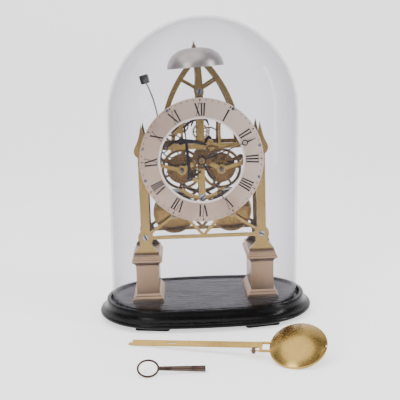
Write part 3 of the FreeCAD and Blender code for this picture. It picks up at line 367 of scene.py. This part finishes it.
def bellMetal():
    # satin bell: fine turned rings about its own height
    r = Recipe("bellMetal")
    rings = r.noise(1.0, 3, 0.7, r.stretched((12, 12, 1800)))
    haze = r.noise(26.0, 4, 0.6)
    tone = r.blend(r.spread(haze, 0.4, 0.65, 0, 1), (0.42, 0.385, 0.36), (0.33, 0.297, 0.275))
    r.link(tone, r.shader.inputs["Base Color"])
    r.link(r.spread(rings, 0.3, 0.7, 0.33, 0.40), r.shader.inputs["Roughness"])
    r.bump(rings, 0.03, 0.00006)
    r.fixed(Metallic=1.0)
    return r.material


def ebonised():
    # black polished wood with a little open grain, duller and dustier in patches
    r = Recipe("ebonisedWood")
    grain = r.noise(1.0, 6, 0.7, r.stretched((14, 260, 260)))
    dust = r.noise(35.0, 6, 0.7)
    tone = r.blend(r.spread(dust, 0.5, 0.8, 0, 1), (0.0016, 0.0014, 0.0018), (0.006, 0.0054, 0.006))
    r.link(tone, r.shader.inputs["Base Color"])
    r.link(r.spread(grain, 0.3, 0.7, 0.20, 0.32), r.shader.inputs["Roughness"])
    r.bump(grain, 0.03, 0.0001)
    r.fixed(Specular_IOR_Level=0.12)
    return r.material


def blownGlass():
    # clear glass: see-through face on, brighter and denser where it turns away
    r = Recipe("blownGlass")
    edge = r.node("ShaderNodeLayerWeight")
    edge.inputs["Blend"].default_value = 0.22
    ripple = r.noise(7.0, 2, 0.4)
    r.bump(ripple, 0.25, 0.004)
    weight = r.spread(edge.outputs["Facing"], 0.0, 1.0, 0.055, 0.44)
    clear = r.node("ShaderNodeBsdfTransparent")
    clear.inputs["Color"].default_value = (0.965, 0.96, 0.972, 1)
    mixed = r.node("ShaderNodeMixShader")
    r.link(weight, mixed.inputs[0])
    r.link(clear.outputs[0], mixed.inputs[1])
    r.link(r.shader.outputs[0], mixed.inputs[2])
    out = r.tree.nodes["Material Output"]
    r.link(mixed.outputs[0], out.inputs["Surface"])
    r.fixed(Base_Color=(0.14, 0.13, 0.15, 1), Roughness=0.05, Specular_IOR_Level=1.0)
    return r.material


def wax():
    # black wax that fills the engraving
    r = Recipe("blackWax")
    fleck = r.noise(300.0, 3, 0.6)
    r.link(r.blend(r.spread(fleck, 0.4, 0.7, 0, 1), (0.006, 0.006, 0.007), (0.03, 0.027, 0.026)),
           r.shader.inputs["Base Color"])
    r.link(r.spread(fleck, 0.3, 0.7, 0.35, 0.6), r.shader.inputs["Roughness"])
    r.fixed(Specular_IOR_Level=0.15)
    return r.material


# the dial: engraved numerals, dots and ticks laid just proud of the ring

dialSpec = {
    "centreZ": 217.0,
    "front": 35.0,
    "proud": 0.08,
    "bevel": 57.2,             # radius where the polished inner edge ends
    "numeralInner": 59.0,
    "numeralOuter": 75.4,
    "widest": 13.4,
    "thick": 2.3,
    "thin": 0.85,
    "dotRadius": 79.6,
    "dotSize": 0.8,
    "fiveDotSize": 1.2,
    "tickInner": 76.4,
    "tickOuter": 78.2,
    "tickWidth": 0.7,
    "sunk": 0.02,              # how far the wax goes into the ring
    "dotSides": 12,
}
numerals = ("XII", "I", "II", "III", "IIII", "V", "VI", "VII", "VIII", "IX", "X", "XI")


def addBar(points, faces, a, b, widthA, widthB=None):
    # a flat raised bar from a to b, both (x, z) about the dial centre
    widthB = widthA if widthB is None else widthB
    dx, dz = b[0] - a[0], b[1] - a[1]
    length = hypot(dx, dz)
    nx, nz = -dz / length / 2, dx / length / 2
    corners = [(a[0] + nx * widthA, a[1] + nz * widthA), (a[0] - nx * widthA, a[1] - nz * widthA),
               (b[0] - nx * widthB, b[1] - nz * widthB), (b[0] + nx * widthB, b[1] + nz * widthB)]
    addPrism(points, faces, corners)


def addPrism(points, faces, corners):
    first = len(points)
    count = len(corners)
    back = dialSpec["front"] + dialSpec["sunk"]
    face = dialSpec["front"] - dialSpec["proud"]
    for y in (face, back):
        for x, z in corners:
            points.append((x * mm, y * mm, (z + dialSpec["centreZ"]) * mm))
    faces.append(tuple(range(first, first + count)))
    faces.append(tuple(range(first + 2 * count - 1, first + count - 1, -1)))
    for i in range(count):
        j = (i + 1) % count
        faces.append((first + i, first + count + i, first + count + j, first + j))


# each letter: strokes (x at foot, x at head, which width), serifs (from x, to x, height) and
# its step to the next letter, with heights from 0 at the foot to 1 at the head
letterForms = {
    "I": {
        "strokes": ((1.2, 1.2, "thick"),),
        "serifs": ((-0.2, 2.6, 0.02), (-0.2, 2.6, 0.98)),
        "step": 3.0,
    },
    "V": {
        "strokes": ((2.6, 0.9, "thick"), (2.9, 4.8, "thin")),
        "serifs": ((-0.2, 2.2, 0.98), (4.0, 5.8, 0.98)),
        "step": 6.2,
    },
    "X": {
        "strokes": ((4.7, 0.9, "thick"), (0.8, 4.9, "thin")),
        "serifs": ((-0.2, 2.0, 0.98), (3.9, 5.9, 0.98), (-0.2, 1.8, 0.02), (3.6, 5.9, 0.02)),
        "step": 6.4,
    },
}
letterGap = 0.6


def numeralStrokes(text):
    strokes, serifs = [], []
    x = 0.0
    for letter in text:
        form = letterForms[letter]
        strokes += [(x + foot, x + head, dialSpec[width]) for foot, head, width in form["strokes"]]
        serifs += [(x + low, x + high, height) for low, high, height in form["serifs"]]
        x += form["step"]
    return strokes, serifs, x - letterGap


def makeNumerals(ink):
    points, faces = [], []
    inner, outer = dialSpec["numeralInner"], dialSpec["numeralOuter"]
    for hour, text in enumerate(numerals):
        turn = 2 * pi * hour / 12
        strokes, serifs, width = numeralStrokes(text)
        spread = min(1.3, dialSpec["widest"] / width)
        tight = min(1.0, spread)

        def place(x, height):
            radius = inner + (outer - inner) * height
            across = (x - width / 2) * spread * radius / (inner + outer) * 2
            return (radius * sin(turn) + across * cos(turn), radius * cos(turn) - across * sin(turn))

        for foot, head, thick in strokes:
            addBar(points, faces, place(foot, 0.02), place(head, 0.98), thick * tight * 0.9, thick * tight)
        for low, high, height in serifs:
            addBar(points, faces, place(low, height), place(high, height), dialSpec["thin"])
        tick = [polarPoint(dialSpec[end], turn) for end in ("tickInner", "tickOuter")]
        addBar(points, faces, tick[0], tick[1], dialSpec["tickWidth"])
    piece = meshPiece("dialNumerals", points, faces)
    tidyNormals(piece.data)
    return finishPiece(piece, "root", "blued_steel", ink)


def polarPoint(radius, turn):
    return (radius * sin(turn), radius * cos(turn))


def inputSocket(tree, name):
    for item in tree.interface.items_tree:
        if item.item_type == "SOCKET" and item.in_out == "INPUT" and item.name == name:
            return item.identifier
    raise KeyError(name)


def dotTree():
    # dots evenly round a circle, every fifth one larger
    tree = bpy.data.node_groups.new("minuteDots", "GeometryNodeTree")
    face = tree.interface
    for name, kind in (("Geometry", "NodeSocketGeometry"), ("Count", "NodeSocketInt"),
                       ("Radius", "NodeSocketFloat"), ("Dot", "NodeSocketFloat"),
                       ("Fifth", "NodeSocketFloat"), ("Depth", "NodeSocketFloat"),
                       ("Material", "NodeSocketMaterial")):
        face.new_socket(name, in_out="INPUT", socket_type=kind)
    face.new_socket("Geometry", in_out="OUTPUT", socket_type="NodeSocketGeometry")
    new = tree.nodes.new
    link = tree.links.new
    given = new("NodeGroupInput")
    out = new("NodeGroupOutput")
    ring = new("GeometryNodeMeshCircle")
    link(given.outputs["Count"], ring.inputs["Vertices"])
    link(given.outputs["Radius"], ring.inputs["Radius"])
    dot = new("GeometryNodeMeshCylinder")
    dot.inputs["Vertices"].default_value = dialSpec["dotSides"]
    dot.inputs["Radius"].default_value = 1.0
    link(given.outputs["Depth"], dot.inputs["Depth"])
    index = new("GeometryNodeInputIndex")
    rest = new("FunctionNodeIntegerMath")
    rest.operation = "MODULO"
    link(index.outputs[0], rest.inputs[0])
    rest.inputs[1].default_value = 5
    isFifth = new("FunctionNodeCompare")
    isFifth.data_type = "INT"
    isFifth.operation = "EQUAL"
    link(rest.outputs[0], isFifth.inputs[2])     # the whole-number pair of sockets
    size = new("GeometryNodeSwitch")
    size.input_type = "FLOAT"
    link(isFifth.outputs[0], size.inputs["Switch"])
    link(given.outputs["Dot"], size.inputs["False"])
    link(given.outputs["Fifth"], size.inputs["True"])
    scale = new("ShaderNodeCombineXYZ")
    link(size.outputs[0], scale.inputs[0])
    link(size.outputs[0], scale.inputs[1])
    scale.inputs[2].default_value = 1.0
    place = new("GeometryNodeInstanceOnPoints")
    link(ring.outputs["Mesh"], place.inputs["Points"])
    link(dot.outputs["Mesh"], place.inputs["Instance"])
    link(scale.outputs[0], place.inputs["Scale"])
    real = new("GeometryNodeRealizeInstances")
    link(place.outputs[0], real.inputs[0])
    paint = new("GeometryNodeSetMaterial")
    link(real.outputs[0], paint.inputs["Geometry"])
    link(given.outputs["Material"], paint.inputs["Material"])
    link(paint.outputs[0], out.inputs[0])
    return tree


def grown(name, tree, place, **values):
    # runs a node tree on an empty mesh and keeps the result as a plain mesh
    holder = meshPiece(name + "Holder", [(0, 0, 0)], [])
    modifier = holder.modifiers.new("grow", "NODES")
    modifier.node_group = tree
    for key, value in values.items():
        modifier[inputSocket(tree, key)] = value
    seen = holder.evaluated_get(bpy.context.evaluated_depsgraph_get())
    data = bpy.data.meshes.new_from_object(seen)
    bpy.data.objects.remove(holder)
    data.transform(place)
    piece = bpy.data.objects.new(name, data)
    bpy.context.scene.collection.objects.link(piece)
    return piece


def makeDots(ink):
    lay = Matrix.Translation((0, (dialSpec["front"] - dialSpec["proud"] / 2) * mm, dialSpec["centreZ"] * mm))
    lay = lay @ Matrix.Rotation(pi / 2, 4, "X") @ Matrix.Rotation(pi / 2, 4, "Z")
    piece = grown("minuteDots", dotTree(), lay, Count=60, Radius=dialSpec["dotRadius"] * mm,
                  Dot=dialSpec["dotSize"] * mm, Fifth=dialSpec["fiveDotSize"] * mm,
                  Depth=(dialSpec["proud"] + 2 * dialSpec["sunk"]) * mm, Material=ink)
    return finishPiece(piece, "root", "blued_steel", ink)


# a dark slot across every screw head

slotSpec = {
    "nodes": ("plate_screws", "dial_screws"),
    "width": 0.22,             # of the head's diameter
    "length": 0.92,
    "proud": 0.03,
    "sunk": 0.02,
    "firstTurn": 0.7,          # radians; each slot stands at its own angle
    "nextTurn": 1.9,
}


def screwHeads(node):
    # each screw's wider end: its middle, its height along Y, its radius and the way it faces
    bm = bmesh.new()
    bm.from_mesh(nodes[node].data)
    bmesh.ops.remove_doubles(bm, verts=bm.verts, dist=weld)
    waiting = set(bm.verts)
    heads = []
    while waiting:
        found, edgeOfSearch = set(), [waiting.pop()]
        while edgeOfSearch:
            point = edgeOfSearch.pop()
            found.add(point)
            for edge in point.link_edges:
                other = edge.other_vert(point)
                if other in waiting:
                    waiting.discard(other)
                    edgeOfSearch.append(other)
        ends = []
        for facing, level in ((-1, min(p.co.y for p in found)), (1, max(p.co.y for p in found))):
            face = [p.co for p in found if abs(p.co.y - level) < 0.05 * mm]
            xs, zs = [p.x for p in face], [p.z for p in face]
            middle = ((min(xs) + max(xs)) / 2, (min(zs) + max(zs)) / 2)
            ends.append(((max(xs) - min(xs)) / 2, middle, level, facing))
        heads.append(max(ends))
    bm.free()
    return heads


boxFaces = ((0, 1, 2, 3), (7, 6, 5, 4), (0, 4, 5, 1), (1, 5, 6, 2), (2, 6, 7, 3), (3, 7, 4, 0))


def makeSlots(ink):
    points, faces = [], []
    for node in slotSpec["nodes"]:
        for i, (radius, middle, level, facing) in enumerate(sorted(screwHeads(node))):
            turn = slotSpec["firstTurn"] + slotSpec["nextTurn"] * i
            along = Vector((cos(turn), 0, sin(turn))) * radius * slotSpec["length"]
            aside = Vector((-sin(turn), 0, cos(turn))) * radius * slotSpec["width"]
            first = len(points)
            for y in (level + facing * slotSpec["proud"] * mm, level - facing * slotSpec["sunk"] * mm):
                centre = Vector((middle[0], y, middle[1]))
                points += [centre + along + aside, centre - along + aside]
                points += [centre - along - aside, centre + along - aside]
            faces += [tuple(first + corner for corner in face) for face in boxFaces]
    piece = meshPiece("screwSlots", points, faces)
    tidyNormals(piece.data)
    return finishPiece(piece, "root", "blued_steel", ink)


# everything is made here

makeStudio()
makeCamera()
print("camera and studio ready")

materials = {}
for slotName, recipe in finishes.items():
    materials[slotName] = metal(slotName, **recipe)
materials["silvered_brass"] = silvering()
materials["bell_nickel"] = bellMetal()
materials["ebonised_wood"] = ebonised()
materials["dome_glass"] = blownGlass()
print("materials ready")

for nodeName in sorted(nodes):
    refined(nodeName, materials[otherFinish.get(nodeName, slotOf[nodeName])])
print("metalwork finished")

engraving = wax()
makeNumerals(engraving)
dots = makeDots(engraving)
makeSlots(engraving)
print("dial engraved,", len(dots.data.vertices), "points in the minute dots")
